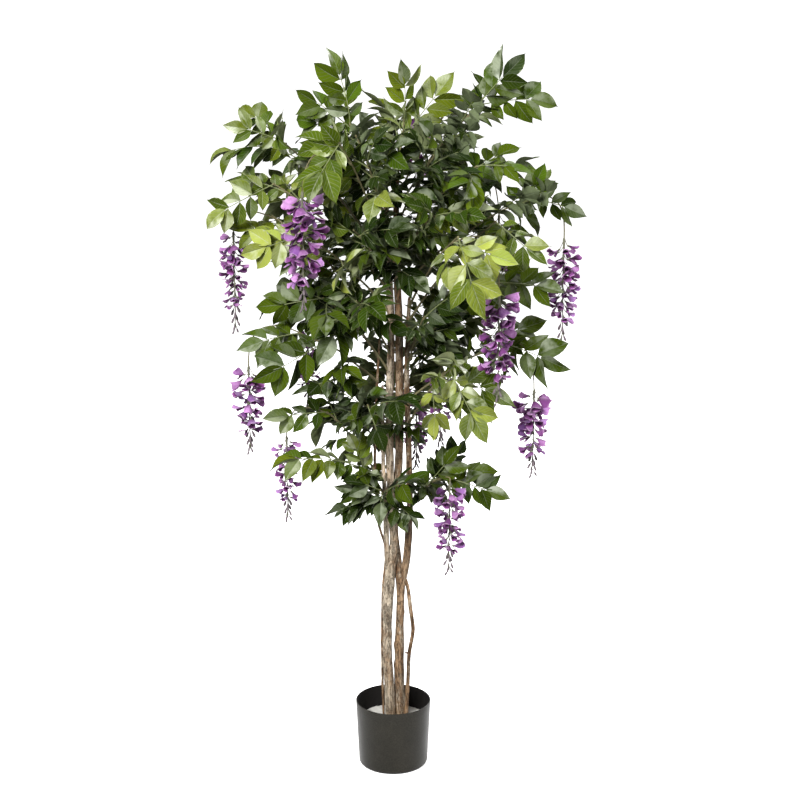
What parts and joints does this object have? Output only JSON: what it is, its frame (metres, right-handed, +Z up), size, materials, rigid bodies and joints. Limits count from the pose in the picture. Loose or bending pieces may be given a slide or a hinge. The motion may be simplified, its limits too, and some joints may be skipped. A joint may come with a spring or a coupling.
{
  "type": "potted wisteria tree",
  "caption": "Wisteria tree in a round pot: bundled wooden stems in a plug, a crown of pinnate leafy sprays and hanging violet racemes.",
  "frame": {"origin": "centre of the pot's flat underside", "axes": "+Z up along the stems; -Y to the front; +X to the right seen from the front"},
  "size_m": [0.9201, 0.601, 1.8231],
  "materials": {
    "pot": "satin black moulded plastic",
    "plug": "rough pale plaster",
    "bark": "dry grey-brown bark with tan patches",
    "leaf_dark": "dark green waxed cloth leaf, slight sheen",
    "leaf_mid": "mid green waxed cloth leaf, slight sheen",
    "leaf_bright": "yellow-green waxed cloth leaf, slight sheen",
    "petal": "soft violet cloth petal"
  },
  "bodies": {
    "root": {"pot": "pot", "pot_plug": "plug", "spray_top_left": "leaf_dark", "spray_top": "leaf_mid", "spray_top_right": "leaf_dark", "spray_right_high": "leaf_dark", "spray_right": "leaf_dark", "raceme_right": "petal", "spray_right_front": "leaf_bright", "spray_front_right": "leaf_bright", "raceme_front_right": "petal", "spray_right_low": "leaf_dark", "spray_right_lower": "leaf_dark", "raceme_right_lower": "petal", "spray_front_low": "leaf_bright", "spray_lowest_right": "leaf_dark", "raceme_lowest_right": "petal", "spray_front_left": "leaf_bright", "raceme_front_left": "petal", "spray_left_yellow": "leaf_bright", "spray_left_dark": "leaf_dark", "spray_left_arm": "leaf_dark", "raceme_left_arm": "petal", "spray_left_edge": "leaf_dark", "spray_low_left": "leaf_mid", "raceme_low_left": "petal", "spray_lowest_left": "leaf_mid", "spray_low_front": "leaf_dark", "spray_left_high": "leaf_mid", "spray_left": "leaf_bright", "spray_left_mid": "leaf_mid", "raceme_left_mid": "petal", "spray_inner_top_left": "leaf_dark", "spray_inner_top_right": "leaf_dark", "spray_inner_left": "leaf_dark", "spray_inner_right": "leaf_mid", "spray_inner_low_left": "leaf_mid", "spray_inner_low_right": "leaf_dark", "spray_inner_lowest": "leaf_dark", "spray_back_top_left": "leaf_mid", "spray_back_top_right": "leaf_mid", "raceme_back_top_right": "petal", "spray_back_left": "leaf_mid", "spray_back_right": "leaf_dark", "raceme_back_right": "petal", "spray_back": "leaf_dark", "spray_back_low_left": "leaf_dark", "raceme_back_low_left": "petal", "spray_back_low_right": "leaf_mid", "raceme_back_low_right": "petal", "spray_back_low": "leaf_mid", "raceme_back_low": "petal", "spray_back_lowest": "leaf_dark", "stem_left": "bark", "stem_right": "bark", "stem_slender": "bark"}
  },
  "joints": []
}
